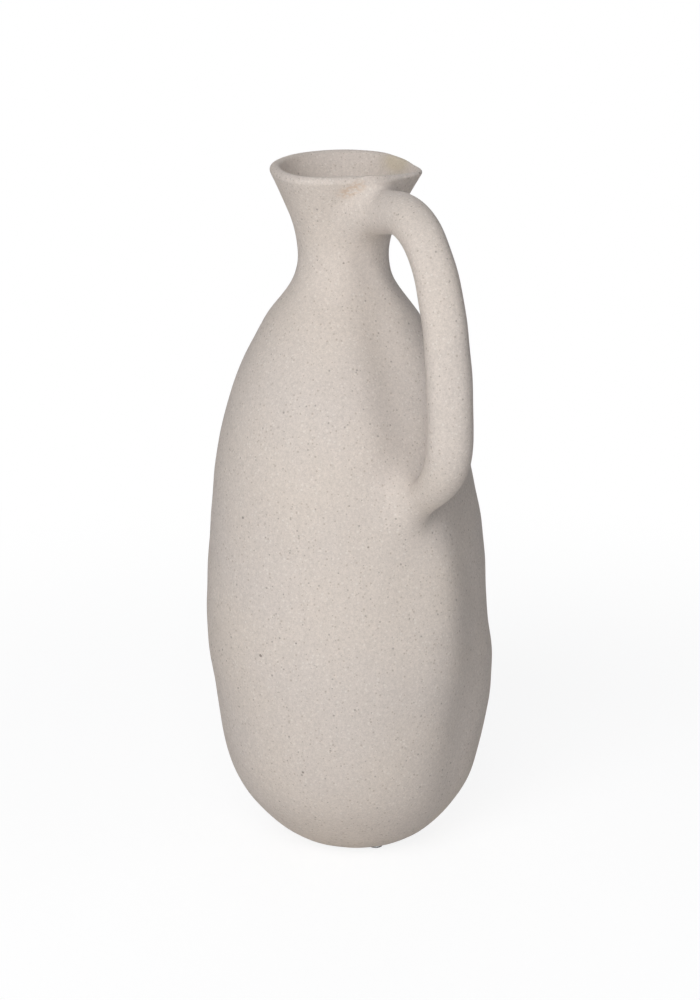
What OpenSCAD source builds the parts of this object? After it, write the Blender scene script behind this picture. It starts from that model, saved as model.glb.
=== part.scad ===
// Hand-built stoneware jug: a leaning vessel of luted clay rings, a mouth pinched to a pouring corner,
// one rolled loop handle and three clear bumper feet.
// Lengths are millimetres and angles are degrees. +Z is up, the table is z = 0 and the handle points
// along +X. The origin is the middle of the whole jug's box, on the table.

/* [Profile radii] */
// Radius of the flat foot
foot_r = 30.5; // [27:0.5:36]
// Radius where the rounded heel turns up into the wall
heel_r = 55; // [50:0.5:60]
// Radius of the belly at its widest
belly_r = 72; // [66:0.5:80]
// Radius of the wall at mid height
wall_r = 69; // [62:0.5:76]
// Radius of the shoulder where it starts to close in
shoulder_r = 58; // [53:0.5:63]
// Radius where the shoulder runs into the neck
root_r = 40; // [35:0.5:44]
// Radius of the neck at its narrowest
neck_r = 24.5; // [21:0.5:30]
// Radius of the mouth
mouth_r = 37; // [32:0.5:42]

/* [Profile heights] */
// Height of the heel above the table
heel_z = 24; // [20:0.5:30]
// Height of the belly's widest place
belly_z = 91; // [80:0.5:105]
// Height of the middle of the wall
wall_z = 165; // [150:0.5:180]
// Height of the shoulder
shoulder_z = 238; // [228:0.5:248]
// Height where the shoulder runs into the neck
root_z = 273.5; // [266:0.5:280]
// Height of the neck's narrowest place
neck_z = 297; // [292:0.5:306]
// Height of the mouth's edge, below its rounding
mouth_z = 349.5; // [344:0.5:364]
// Angle at which the heel leaves the flat foot
heel_angle = 24; // [15:1:40]

/* [Lean] */
// Direction in which the foot stands out from under the neck
lean_angle = 25; // [0:5:90]
// Offset of the foot along the lean
foot_lean = 6; // [0:0.5:8]
// Offset of the heel along the lean
heel_lean = 5; // [0:0.5:7]
// Offset of the belly along the lean
belly_lean = 3; // [0:0.5:6]
// Offset of the wall along the lean
wall_lean = -1; // [-4:0.5:4]
// Offset of the neck along the lean
neck_lean = -2; // [-5:0.5:3]
// Offset of the mouth along the lean
mouth_lean = -1.5; // [-5:0.5:3]

/* [Clay] */
// Thickness of the walls
wall_t = 5.5; // [4.5:0.5:7]
// Thickness of the floor
floor_t = 7; // [5:0.5:10]
// Thickness of the mouth's edge
lip_t = 5.6; // [4.5:0.1:7]
// Thickness of the glaze that waterproofs the inside
glaze_t = 0.5; // [0.4:0.1:1]
// Height by which each ring's inner half laps over the next ring's outer half
lap_h = 5; // [3:0.5:8]

/* [Ring joints] */
// Height of the joint between base and belly
base_joint_z = 26; // [20:1:34]
// Height of the joint between belly and shoulder
belly_joint_z = 152; // [130:1:158]
// Height of the joint between shoulder and neck
shoulder_joint_z = 281; // [272:1:288]
// Height of the joint between neck and lip
neck_joint_z = 308; // [302:1:312]

/* [Mouth] */
// Direction of the pinched pouring corner, turned from the handle
spout_angle = 44; // [30:1:90]
// Distance that the corner is drawn out
spout_push = 3.5; // [2:0.5:8]
// Half angle of the corner
spout_spread = 16; // [10:1:24]
// Share of the lip's thickness that pinching the corner takes away
spout_thin = 0.5; // [0:0.05:0.6]
// Half angle of the thinned part
thin_spread = 45; // [30:1:60]
// Direction of the flat that a finger pinched in behind the corner
pinch_angle = 86; // [64:1:104]
// Distance that the mouth is pinched in there
pinch_push = 3; // [0:0.5:5]
// Half angle of the pinched part
pinch_spread = 32; // [20:1:44]
// Direction of the soft corner beyond the handle
corner_angle = -60; // [-80:1:-50]
// Distance that the soft corner stands out
corner_push = 4.5; // [0:0.5:6]
// Half angle of the soft corner
corner_spread = 26; // [14:1:40]
// Direction of the mouth's drawn-out back
back_angle = 165; // [140:1:190]
// Distance that the back stands out
back_push = 1; // [0:0.5:4]
// Half angle of the back
back_spread = 35; // [20:1:50]
// Direction of the mouth's flat front
front_angle = -30; // [-45:1:-15]
// Distance that the front is flattened
front_flat = 1.8; // [0:0.1:3]
// Half angle of the flat front
front_spread = 28; // [16:1:40]
// Distance by which one side of the mouth's edge is lower than the other
mouth_tilt = 0.8; // [0:0.1:2]
// Direction of the low side
tilt_angle = -120; // [-150:5:30]

/* [Handle] */
// Height where the handle leaves the neck
top_root_z = 330; // [326:0.5:333]
// Height of the handle's farthest reach
bow_z = 236; // [228:0.5:248]
// Height where the handle comes back to the wall
low_root_z = 192; // [186:0.5:200]
// Room for fingers between wall and handle
finger_gap = 37; // [30:0.5:48]
// Radius of the handle at its upper root
top_grip_r = 10.6; // [8.2:0.2:11]
// Radius of the handle along the grip
grip_r = 11.8; // [9.8:0.2:13.8]
// Share of its radius by which the rolled handle is flattened on four sides
grip_flat = 0.03; // [0:0.01:0.06]
// Direction of the first flat round the handle
flat_turn = -30; // [-45:5:45]
// Radius of the handle at its lower root
low_grip_r = 7.6; // [7:0.2:11]
// Straight pull of the handle out of the neck
top_pull = 56; // [48:1:64]
// Rise of that pull
top_rise = 28; // [20:0.5:32]
// Straight pull above the farthest reach
bow_pull_up = 60; // [52:1:66]
// Straight pull below the farthest reach
bow_pull_down = 19; // [14:1:26]
// Straight pull into the wall
low_pull = 25; // [18:1:30]
// Drop of that pull
low_drop = 17; // [8:0.5:22]
// Width of the clay worked round each root
fillet_w = 9; // [5:0.5:11]
// Width of that clay where the upper root runs up to the lip
lip_fillet_w = 5; // [3:0.5:6]

/* [Bumper feet] */
// Radius of a bumper foot
pad_r = 4; // [3:0.5:5]
// Height of a bumper foot
pad_h = 2.2; // [1.6:0.1:3]
// Radius of a bumper foot's flat end
pad_flat_r = 2.6; // [2:0.1:2.9]
// Height of a bumper foot's straight side
pad_side_h = 0.7; // [0.4:0.1:1]
// Distance from a bumper foot to the edge of the flat foot
pad_inset = 2; // [1:0.5:5]
// Direction of the bumper foot below the handle
pad_turn = -6; // [-30:1:30]

/* [Hand marks] */
// Depth of the hollow pressed in for the fingers
finger_hollow = 7.5; // [4:0.5:9]
// Height of the soft ridge below the lower root
ridge_push = 3.5; // [0:0.5:5]
// Height of the softer ridge between the front and the finger hollow
front_ridge = 2.2; // [0:0.1:3]
// Depth of the flat patted beside that ridge
side_flat = 2.5; // [0:0.5:4]
// Depth of the smaller dents and swells
dent_push = 1.4; // [0:0.1:2]
// Half height of the mark that a palm leaves
palm_h = 40; // [36:1:44]

/* [Hidden] */
// Sides of every ring round the vessel
sides = 48;
// Sides of the handle and of the clay round its roots
grip_sides = 20;
// Steps of the profile curve between two stations
profile_steps = 16;
// Height of one row of facets outside and inside
outer_row = 9;
inner_row = 15;
// Share of the handle's curves at which its full rings start and stop
first_ring = 0.11;
last_ring = 0.84;
// Share of the straight stub at each root that the worked clay climbs
fillet_climb = 0.9;
foot_z = pad_h;
clay = "#cdc3b7";
clay_wet = "#c3b8ab";
glaze = "#dcd6cb";
clear_rubber = "#e4e6e6";

// The profile: radius, height and lean of each station, joined by one smooth curve.
stations = [
    [foot_r, foot_z, foot_lean],
    [heel_r, heel_z, heel_lean],
    [belly_r, belly_z, belly_lean],
    [wall_r, wall_z, wall_lean],
    [shoulder_r, shoulder_z, wall_lean],
    [root_r, root_z, neck_lean],
    [neck_r, neck_z, neck_lean],
    [mouth_r, mouth_z, mouth_lean],
];
top = len(stations) - 1;
chords = [for (i = [0 : top - 1]) norm([for (k = [0, 1]) stations[i + 1][k] - stations[i][k]])];

function chord_slope(i) = (stations[i + 1] - stations[i]) / chords[i];
function inner_tangent(i) =
    (chord_slope(i) * chords[i - 1] + chord_slope(i - 1) * chords[i]) / (chords[i] + chords[i - 1]);
function tangent(i) =
    i == 0 ? [cos(heel_angle), sin(heel_angle), 0] :
    i == top ? 1.5 * chord_slope(top - 1) - 0.5 * inner_tangent(top - 1) :
    inner_tangent(i);
function profile(i, u) =
    (2 * pow(u, 3) - 3 * pow(u, 2) + 1) * stations[i]
    + (pow(u, 3) - 2 * pow(u, 2) + u) * chords[i] * tangent(i)
    + (3 * pow(u, 2) - 2 * pow(u, 3)) * stations[i + 1]
    + (pow(u, 3) - pow(u, 2)) * chords[i] * tangent(i + 1);

curve = [for (i = [0 : top - 1], k = [0 : profile_steps - 1]) profile(i, k / profile_steps),
    stations[top]];
last = len(curve) - 1;
radius_by_z = [for (p = curve) [p[1], p[0]]];
lean_by_z = [for (p = curve) [p[1], p[2]]];
slope_by_z = [for (i = [0 : last]) let (a = curve[max(i - 1, 0)], b = curve[min(i + 1, last)])
    [curve[i][1], (b[0] - a[0]) / (b[1] - a[1])]];
thickness_by_z = [[foot_z, floor_t], [heel_z, wall_t], [neck_z, wall_t], [mouth_z, lip_t]];

function sum(list) = list * [for (x = list) 1];
function turn_between(a, b) = let (d = (a - b) % 360) d > 180 ? d - 360 : d < -180 ? d + 360 : d;
function swell(offset, spread) = exp(-pow(offset / spread, 2));

// Dents and swells left by the hands: direction, station, height above it in palms, half angle,
// half height in palms, and push outward.
hand_marks = [
    [2, bow_z, 0.375, 27, 1.1, -finger_hollow],
    [-18, bow_z, -0.1, 12, 0.7, front_ridge],
    [-9, wall_z, 0.2, 12, 0.55, 0.5 * front_ridge],
    [12, belly_z, 0.9, 16, 1.4, ridge_push],
    [13, belly_z, 1.75, 12, 0.8, 0.7 * ridge_push],
    [23, belly_z, -0.65, 16, 1, -1.4 * side_flat],
    [38, belly_z, 0.625, 18, 1.5, -side_flat],
    [60, wall_z, 1.1, 34, 0.55, -2.2 * dent_push],
    [62, wall_z, -0.125, 30, 0.65, 1.2 * dent_push],
    [60, belly_z, 0.85, 30, 0.5, -0.8 * dent_push],
    [60, belly_z, -0.15, 26, 0.475, dent_push],
    [62, heel_z, 0.55, 26, 0.45, -0.5 * dent_push],
    [130, wall_z, 0.95, 34, 0.9, -1.3 * dent_push],
    [165, belly_z, 0.15, 30, 1, dent_push],
    [240, shoulder_z, -0.2, 40, 0.5, -0.6 * dent_push],
    [238, belly_z, -0.45, 26, 0.5, -0.5 * dent_push],
    [262, belly_z, 0.85, 24, 0.9, 0.5 * dent_push],
    [315, wall_z, -0.3, 26, 1.1, -0.8 * dent_push],
];
// Changes of the round mouth: direction, half angle and push outward, growing from neck to mouth.
mouth_marks = [
    [spout_angle, spout_spread, spout_push],
    [pinch_angle, pinch_spread, -pinch_push],
    [corner_angle, corner_spread, corner_push],
    [back_angle, back_spread, back_push],
    [front_angle, front_spread, -front_flat],
];

function marks(z, a) = sum([for (m = hand_marks)
    m[5] * swell(turn_between(a, m[0]), m[3]) * swell(z - m[1] - m[2] * palm_h, m[4] * palm_h)]);
function mouth_share(z) = pow(max(z - neck_z, 0) / (mouth_z - neck_z), 2);
function mouth_shape(z, a) = z <= neck_z ? 0 : mouth_share(z)
    * sum([for (m = mouth_marks) m[2] * swell(turn_between(a, m[0]), m[1])]);
function mouth_drop(z, a) = mouth_tilt * mouth_share(z) * (1 + cos(a - tilt_angle)) / 2;
function lip_share(z, a) =
    1 - spout_thin * mouth_share(z) * swell(turn_between(a, spout_angle), thin_spread);

function thickness(z) = lookup(z, thickness_by_z);
function lean(z) = lookup(z, lean_by_z) * [cos(lean_angle), sin(lean_angle)];
function outer_radius(z, a) = lookup(z, radius_by_z) + marks(z, a) + mouth_shape(z, a);

// A point of the wall: its station's height on the outside, its depth below the outside, its distance
// beyond the mouth along the wall, and its direction.
function skin(z, depth, beyond, a) =
    let (s = lookup(z, slope_by_z), n = norm([1, s]) / lip_share(z, a), c = lean(z),
        r = outer_radius(z, a) + (beyond * s - depth) / n)
    [c[0] + r * cos(a), c[1] + r * sin(a), z + (beyond + depth * s) / n - mouth_drop(z, a)];

// Evenly spaced stations from one height to another, no more than a row apart.
function rise(z1, z2, row) = let (n = ceil(abs(z2 - z1) / row))
    [for (i = [0 : n]) z1 + (z2 - z1) * i / n];
function outside(z1, z2) = [for (z = rise(z1, z2, outer_row)) [z, 0, 0]];
function inside(z1, z2) = [for (z = rise(z1, z2, inner_row)) [z, thickness(z), 0]];
function middle(z) = [z, thickness(z) / 2, 0];
function glazed(rows) = [for (p = rows) [p[0], p[1] + glaze_t, p[2]]];
function reversed(list) = [for (i = [len(list) - 1 : -1 : 0]) list[i]];

// The foot's curve is the tightest, so it has shorter rows.
heel_row = 4;
function heel_outside(z2) = [for (z = rise(foot_z, z2, heel_row)) [z, 0, 0]];

// The inner rows of every ring, which the lining shares.
base_inner = [for (z = rise(foot_z, base_joint_z + lap_h, 2 * heel_row)) [z, thickness(z), 0]];
belly_inner = inside(base_joint_z + lap_h, belly_joint_z + lap_h);
shoulder_inner = inside(belly_joint_z + lap_h, shoulder_joint_z + lap_h);
neck_inner = inside(shoulder_joint_z + lap_h, neck_joint_z + lap_h);
lip_inner = inside(neck_joint_z + lap_h, mouth_z);

// The mouth's rounded edge, from its outside to its inside.
rim_steps = 6;
rim = [for (i = [1 : rim_steps - 1]) let (t = 180 * i / rim_steps)
    [mouth_z, lip_t / 2 * (1 - cos(t)), lip_t / 2 * sin(t)]];

function skip_first(list) = [for (i = [1 : 1 : len(list) - 1]) list[i]];

// The section of a ring: its outside, the lap at its top, its inside and the lap at its foot.
function ring_section(z1, z2, inner) = concat(
    outside(z1, z2), [middle(z2), middle(z2 + lap_h)],
    reversed(inner), [middle(z1 + lap_h), middle(z1)]);

function swept_points(section) = [for (k = [0 : sides - 1], p = section)
    skin(p[0], p[1], p[2], 360 * k / sides)];
// Two triangles for each step along the section and round the vessel.
function strip(count, turns, closed) = [for (k = [0 : turns - 1], i = [0 : count - (closed ? 1 : 2)])
    let (k2 = (k + 1) % turns, i2 = (i + 1) % count)
    each [[k * count + i, k * count + i2, k2 * count + i2],
        [k * count + i, k2 * count + i2, k2 * count + i]]];

// A ring swept round the vessel from a closed section.
module clay_ring(section) {
    polyhedron(swept_points(section), strip(len(section), sides, true), convexity = 6);
}

// A cup swept round the vessel from an open section, closed by a flat face at each end.
module clay_cup(section) {
    count = len(section);
    polyhedron(swept_points(section), concat(strip(count, sides, false), [
        [for (k = [0 : sides - 1]) k * count],
        [for (k = [sides - 1 : -1 : 0]) k * count + count - 1],
    ]), convexity = 6);
}

// The handle's middle line is two curves that meet at its farthest reach, in the plane y = 0.
function wall_x(z) = lean(z)[0] + outer_radius(z, 0);
bow_x = wall_x(bow_z) + finger_gap + grip_r;
upper_curve = [
    [wall_x(top_root_z), top_root_z],
    [wall_x(top_root_z) + top_pull, top_root_z + top_rise],
    [bow_x, bow_z + bow_pull_up],
    [bow_x, bow_z],
];
lower_curve = [
    [bow_x, bow_z],
    [bow_x, bow_z - bow_pull_down],
    [wall_x(low_root_z) + low_pull, low_root_z + low_drop],
    [wall_x(low_root_z), low_root_z],
];
function bezier(c, u) = pow(1 - u, 3) * c[0] + 3 * pow(1 - u, 2) * u * c[1]
    + 3 * (1 - u) * pow(u, 2) * c[2] + pow(u, 3) * c[3];
function bezier_heading(c, u) =
    let (d = pow(1 - u, 2) * (c[1] - c[0]) + 2 * (1 - u) * u * (c[2] - c[1])
        + pow(u, 2) * (c[3] - c[2])) d / norm(d);
function ease(u) = u * u * (3 - 2 * u);

// Each full ring of the handle: its middle, its heading and its radius.
upper_steps = 15;
lower_steps = 9;
grip_frames = concat(
    [for (i = [0 : upper_steps]) let (u = first_ring + (1 - first_ring) * i / upper_steps)
        [bezier(upper_curve, u), bezier_heading(upper_curve, u),
            top_grip_r + (grip_r - top_grip_r) * ease(u)]],
    [for (i = [1 : lower_steps]) let (u = last_ring * i / lower_steps)
        [bezier(lower_curve, u), bezier_heading(lower_curve, u),
            grip_r + (low_grip_r - grip_r) * ease(u)]]);
// A point round a frame: turn 0 is outward from the bend, and a quarter turn is along +Y.
function round_frame(f, r, t) =
    let (c = f[0], d = f[1], q = r * (1 - grip_flat * cos(4 * (t - flat_turn))))
    [c[0] - q * cos(t) * d[1], q * sin(t), c[1] + q * cos(t) * d[0]];

// The place where a line meets the outside of the vessel, by halving: near is off the wall and far
// is in it.
function off_wall(p) = let (c = lean(p[2]), q = [p[0] - c[0], p[1] - c[1]], a = atan2(q[1], q[0]))
    norm(q) - outer_radius(min(p[2] + mouth_drop(p[2], a), mouth_z), a);
function to_wall(near, far, steps = 18) = let (half = (near + far) / 2)
    steps == 0 ? half :
    off_wall(half) > 0 ? to_wall(half, far, steps - 1) : to_wall(near, half, steps - 1);
// The line of a frame's side, carried along the frame's heading into the wall.
reach = 2.4 * fillet_w + 1.6 * grip_r;
function land(f, way, r, t) = let (p = round_frame(f, r, t), d = way * reach * [f[1][0], 0, f[1][1]])
    to_wall(p - 0.3 * d, p + d);

grip_turns = [for (j = [0 : grip_sides - 1]) 360 * j / grip_sides];
top_frame = grip_frames[0];
low_frame = grip_frames[len(grip_frames) - 1];
function landed_ring(f, way, r) = [for (t = grip_turns) land(f, way, r, t)];
grip_rings = concat(
    [landed_ring(top_frame, -1, top_frame[2] / 2), landed_ring(top_frame, -1, top_frame[2])],
    [for (f = grip_frames) [for (t = grip_turns) round_frame(f, f[2], t)]],
    [landed_ring(low_frame, 1, low_frame[2]), landed_ring(low_frame, 1, low_frame[2] / 2)]);

// Clay worked round a root: from the handle's stub in a hollow curve down to the wall, then back under.
fillet_steps = 5;
function fillet_width(f, way, t) =
    way < 0 ? fillet_w + (lip_fillet_w - fillet_w) * max(cos(t), 0) : fillet_w;
function fillet_section(f, way, t) =
    let (w = fillet_width(f, way, t),
        foot = land(f, way, f[2], t),
        edge = land(f, way, f[2] + w, t),
        crest = foot + fillet_climb * (round_frame(f, f[2], t) - foot),
        pull = foot + 0.12 * (crest - foot) + 0.12 * (edge - foot))
    concat(
        [for (i = [0 : fillet_steps]) let (u = i / fillet_steps)
            pow(1 - u, 2) * crest + 2 * (1 - u) * u * pull + pow(u, 2) * edge],
        [land(f, way, f[2] + w / 2, t), foot]);

module root_fillet(f, way) {
    sections = [for (t = grip_turns) fillet_section(f, way, t)];
    count = len(sections[0]);
    faces = strip(count, grip_sides, true);
    polyhedron([for (s = sections) each s], way < 0 ? faces : [for (t = faces) reversed(t)],
        convexity = 4);
}

// The middle of the whole jug's box, which the origin stands under.
shell = swept_points(concat(outside(foot_z, mouth_z), rim));
grip_points = [for (ring = grip_rings) each ring];
function middle_of(k) = let (v = [for (p = concat(shell, grip_points)) p[k]]) (min(v) + max(v)) / 2;
box_middle = [middle_of(0), middle_of(1), 0];

module in_frame() {
    translate(-box_middle) children();
}

module base_slab() {
    color(clay) in_frame() clay_cup(concat(
        heel_outside(base_joint_z), [middle(base_joint_z), middle(base_joint_z + lap_h)],
        reversed(base_inner)));
}

module belly_wall() {
    color(clay) in_frame() clay_ring(ring_section(base_joint_z, belly_joint_z, belly_inner));
}

module shoulder_wall() {
    color(clay) in_frame() clay_ring(ring_section(belly_joint_z, shoulder_joint_z, shoulder_inner));
}

module neck_collar() {
    color(clay) in_frame() clay_ring(ring_section(shoulder_joint_z, neck_joint_z, neck_inner));
}

module pouring_lip() {
    color(clay) in_frame() clay_ring(concat(
        outside(neck_joint_z, mouth_z), rim, reversed(lip_inner),
        [middle(neck_joint_z + lap_h), middle(neck_joint_z)]));
}

// The glaze lies on every inner row from the floor to the top of the neck.
module glaze_lining() {
    rows = concat(base_inner, skip_first(belly_inner), skip_first(shoulder_inner),
        skip_first(neck_inner));
    color(glaze) in_frame() clay_cup(concat(rows, reversed(glazed(rows))));
}

module handle_grip() {
    rings = len(grip_rings);
    start = rings * grip_sides;
    color(clay) in_frame() polyhedron(
        concat(grip_points, [land(top_frame, -1, 0, 0), land(low_frame, 1, 0, 0)]),
        concat(
            [for (i = [0 : rings - 2], j = [0 : grip_sides - 1])
                let (j2 = (j + 1) % grip_sides, a = i * grip_sides, b = a + grip_sides)
                each [[a + j, a + j2, b + j2], [a + j, b + j2, b + j]]],
            [for (j = [0 : grip_sides - 1]) [start, (j + 1) % grip_sides, j]],
            [for (j = [0 : grip_sides - 1]) let (a = (rings - 1) * grip_sides)
                [start + 1, a + j, a + (j + 1) % grip_sides]]),
        convexity = 6);
}

module handle_top_joint() {
    color(clay_wet) in_frame() root_fillet(top_frame, -1);
}

module handle_bottom_joint() {
    color(clay_wet) in_frame() root_fillet(low_frame, 1);
}

// A clear bumper: stuck on by its wide face, it narrows in a round to the flat that stands on the table.
module bumper(turn) {
    ring_r = foot_r - pad_inset - pad_r;
    centre = lean(foot_z) + ring_r * [cos(turn), sin(turn)];
    side = pad_h - pad_side_h;
    color(clear_rubber) in_frame() translate([centre[0], centre[1], 0]) rotate_extrude($fn = 48)
        polygon(concat(
            [[0, pad_h], [0, 0]],
            [for (i = [0 : 6]) let (t = 15 * i)
                [pad_flat_r + (pad_r - pad_flat_r) * sin(t), side * (1 - cos(t))]],
            [[pad_r, pad_h]]));
}

module foot_pad_handle() {
    bumper(pad_turn);
}

module foot_pad_left() {
    bumper(pad_turn + 120);
}

module foot_pad_right() {
    bumper(pad_turn + 240);
}

base_slab();
belly_wall();
shoulder_wall();
neck_collar();
pouring_lip();
glaze_lining();
handle_grip();
handle_top_joint();
handle_bottom_joint();
foot_pad_handle();
foot_pad_left();
foot_pad_right();
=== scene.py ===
import math

import bpy
import numpy as np
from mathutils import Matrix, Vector


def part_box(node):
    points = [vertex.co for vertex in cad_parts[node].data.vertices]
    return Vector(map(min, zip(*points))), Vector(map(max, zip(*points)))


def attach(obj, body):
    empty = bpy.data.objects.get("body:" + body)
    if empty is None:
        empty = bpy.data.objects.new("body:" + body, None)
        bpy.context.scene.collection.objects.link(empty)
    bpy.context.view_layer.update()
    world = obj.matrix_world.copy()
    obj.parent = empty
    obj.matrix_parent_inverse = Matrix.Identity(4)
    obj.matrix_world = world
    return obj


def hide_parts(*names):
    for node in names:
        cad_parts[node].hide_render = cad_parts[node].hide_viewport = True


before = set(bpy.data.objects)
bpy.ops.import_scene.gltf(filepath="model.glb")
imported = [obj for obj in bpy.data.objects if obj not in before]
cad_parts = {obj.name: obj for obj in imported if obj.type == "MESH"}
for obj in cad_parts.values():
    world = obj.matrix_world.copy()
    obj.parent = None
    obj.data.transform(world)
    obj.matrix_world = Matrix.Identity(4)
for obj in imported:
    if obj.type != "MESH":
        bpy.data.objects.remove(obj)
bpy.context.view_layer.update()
scene = bpy.context.scene

# Sizes of the jug are millimetres and degrees, in the vessel's own frame with the handle along +X.
MM = 0.001

# Heights and radii of the vessel
PAD_H = 2.2
FOOT_Z = PAD_H
HEEL_Z = 24.0
BELLY_Z = 91.0
WALL_Z = 165.0
SHOULDER_Z = 238.0
ROOT_Z = 273.5
NECK_Z = 297.0
MOUTH_Z = 349.5
FOOT_R = 30.5
HEEL_ANGLE = math.radians(24.0)
LEAN_ANGLE = math.radians(25.0)
# Radius, height and lean of each station of the profile, from the foot to the mouth
STATIONS = np.array((
    (FOOT_R, FOOT_Z, 6.0),
    (55.0, HEEL_Z, 5.0),
    (72.0, BELLY_Z, 3.0),
    (69.0, WALL_Z, -1.0),
    (58.0, SHOULDER_Z, -1.0),
    (40.0, ROOT_Z, -2.0),
    (24.5, NECK_Z, -2.0),
    (37.0, MOUTH_Z, -1.5),
))

# Clay and glaze
WALL_T = 5.5
FLOOR_T = 7.0
LIP_T = 5.6
GLAZE_T = 0.5
LAP_H = 5.0
BASE_JOINT_Z = 26.0
BELLY_JOINT_Z = 152.0
SHOULDER_JOINT_Z = 281.0
NECK_JOINT_Z = 308.0
# Height of the rim's round, a hair lower than the solid's
RIM_H = 0.99 * LIP_T / 2

# Handle
TOP_ROOT_Z = 330.0
BOW_Z = 236.0
LOW_ROOT_Z = 192.0
FINGER_GAP = 37.0
TOP_GRIP_R = 10.6
GRIP_R = 11.8
LOW_GRIP_R = 7.6
TOP_PULL = (56.0, 28.0)
BOW_PULL_UP = 60.0
BOW_PULL_DOWN = 19.0
LOW_PULL = (25.0, 17.0)
# Shares of the handle's length where each root's straight stub ends, and the stubs' depth in the wall
TOP_STUB = 0.085
LOW_STUB = 0.935
STUB_DEPTH = 2.2
# Share of its radius by which the handle is flattened, how many flats it has, and the first one's direction
GRIP_FLAT = 0.03
FLAT_COUNT = 4
FLAT_TURN = math.radians(-30.0)
# Waves that rolling leaves on the handle: waves round it, angle along its length, and start
ROLL_WAVES = ((2, 31, 0.0), (1, 53, 1.3))
ROLL_DEPTH = 0.08
ROLL_SINK = 2.0
# Shares of the length where flats and waves begin and end, and over which they fade
FADE_START = 0.16
FADE_END = 0.84
FADE_LENGTH = 0.14

# Width of the clay round each root at each eighth of a turn: away from the bend, then past +Y, inside the
# bend, and past -Y. Below it the clay's reach in widths, how far its edges sink, and its depth in the wall.
UPPER_ROOT_WIDTHS = (7.0, 7.0, 7.0, 8.0, 9.5, 11.0, 14.0, 11.5)
LOWER_ROOT_WIDTHS = (14.0, 9.0, 7.0, 12.0, 17.0, 19.0, 18.0, 15.0)
ROOT_MARGIN = 1.03
ROOT_SINK = 0.05
ROOT_DEPTH = 1.6
# Shares of the handle's length up to which the upper root and from which the lower root is joined
UPPER_PART = 0.5
LOWER_PART = 0.6

# Bumper feet
PAD_COUNT = 3
PAD_R = 4.0
PAD_FLAT_R = 2.6
PAD_SIDE_H = 0.7
PAD_INSET = 2.0
PAD_TURN = math.radians(-6.0)
# Share of a foot's steps that go round its edge, before those up its straight side
PAD_EDGE_SHARE = 0.75

# Hand marks
PALM_H = 40.0
FINGER_HOLLOW = 7.5
RIDGE_PUSH = 3.5
FRONT_RIDGE = 2.2
SIDE_FLAT = 2.5
DENT = 1.4
# Direction, station, height above it in palms, half angle, half height in palms, and push outward
HAND_MARKS = (
    (2, BOW_Z, 0.375, 27, 1.1, -FINGER_HOLLOW),
    (-18, BOW_Z, -0.1, 12, 0.7, FRONT_RIDGE),
    (-9, WALL_Z, 0.2, 12, 0.55, 0.5 * FRONT_RIDGE),
    (12, BELLY_Z, 0.9, 16, 1.4, RIDGE_PUSH),
    (13, BELLY_Z, 1.75, 12, 0.8, 0.7 * RIDGE_PUSH),
    (23, BELLY_Z, -0.65, 16, 1, -1.4 * SIDE_FLAT),
    (38, BELLY_Z, 0.625, 18, 1.5, -SIDE_FLAT),
    (60, WALL_Z, 1.1, 34, 0.55, -2.2 * DENT),
    (62, WALL_Z, -0.125, 30, 0.65, 1.2 * DENT),
    (60, BELLY_Z, 0.85, 30, 0.5, -0.8 * DENT),
    (60, BELLY_Z, -0.15, 26, 0.475, DENT),
    (62, HEEL_Z, 0.55, 26, 0.45, -0.5 * DENT),
    (130, WALL_Z, 0.95, 34, 0.9, -1.3 * DENT),
    (165, BELLY_Z, 0.15, 30, 1, DENT),
    (240, SHOULDER_Z, -0.2, 40, 0.5, -0.6 * DENT),
    (238, BELLY_Z, -0.45, 26, 0.5, -0.5 * DENT),
    (262, BELLY_Z, 0.85, 24, 0.9, 0.5 * DENT),
    (315, WALL_Z, -0.3, 26, 1.1, -0.8 * DENT),
)
# Direction, half angle and push outward of the mouth's spout, pinch, soft corner, back and flat front
SPOUT_TURN = 44
MOUTH_MARKS = (
    (SPOUT_TURN, 16, 3.5),
    (86, 32, -3.0),
    (-60, 26, 4.5),
    (165, 35, 1.0),
    (-30, 28, -1.8),
)
# Share of the lip's thickness that pinching the spout takes away, and the half angle of that part
SPOUT_THIN = 0.5
THIN_SPREAD = 45.0
# How much lower one side of the mouth's edge is than the other, and the direction of the low side
MOUTH_TILT = 0.8
TILT_TURN = -120.0

# Fineness of the meshes
SIDES = 288
OUTER_ROW = 1.5
INNER_ROW = 3.0
RIM_STEPS = 18
PATH_STEPS = 64
HANDLE_RINGS = 150
HANDLE_SIDES = 72
ROOT_TURNS = 144
ROOT_STEPS = 30
ROOT_ROUNDS = 8
# Keeps the direction of a face without area defined
TINY = 1e-12

# Waves that smoothing with wet fingers leaves below the clay's true surface
TOUCH_DEPTH = 0.11
TOUCH_SINK = 2.0
TOUCH_WAVES = 9
TOUCH_SEED = 7
# How often a wave goes round, the last number left out, and its angle to each millimetre of height
TOUCH_TURN_RANGE = (4, 13)
TOUCH_RISE_RANGE = (0.10, 0.30)
touch = np.random.default_rng(TOUCH_SEED)
TOUCH_TURNS = touch.integers(*TOUCH_TURN_RANGE, TOUCH_WAVES)
TOUCH_RISES = touch.uniform(*TOUCH_RISE_RANGE, TOUCH_WAVES) * touch.choice((-1, 1), TOUCH_WAVES)
TOUCH_STARTS = touch.uniform(0.0, 2.0 * math.pi, TOUCH_WAVES)


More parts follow.
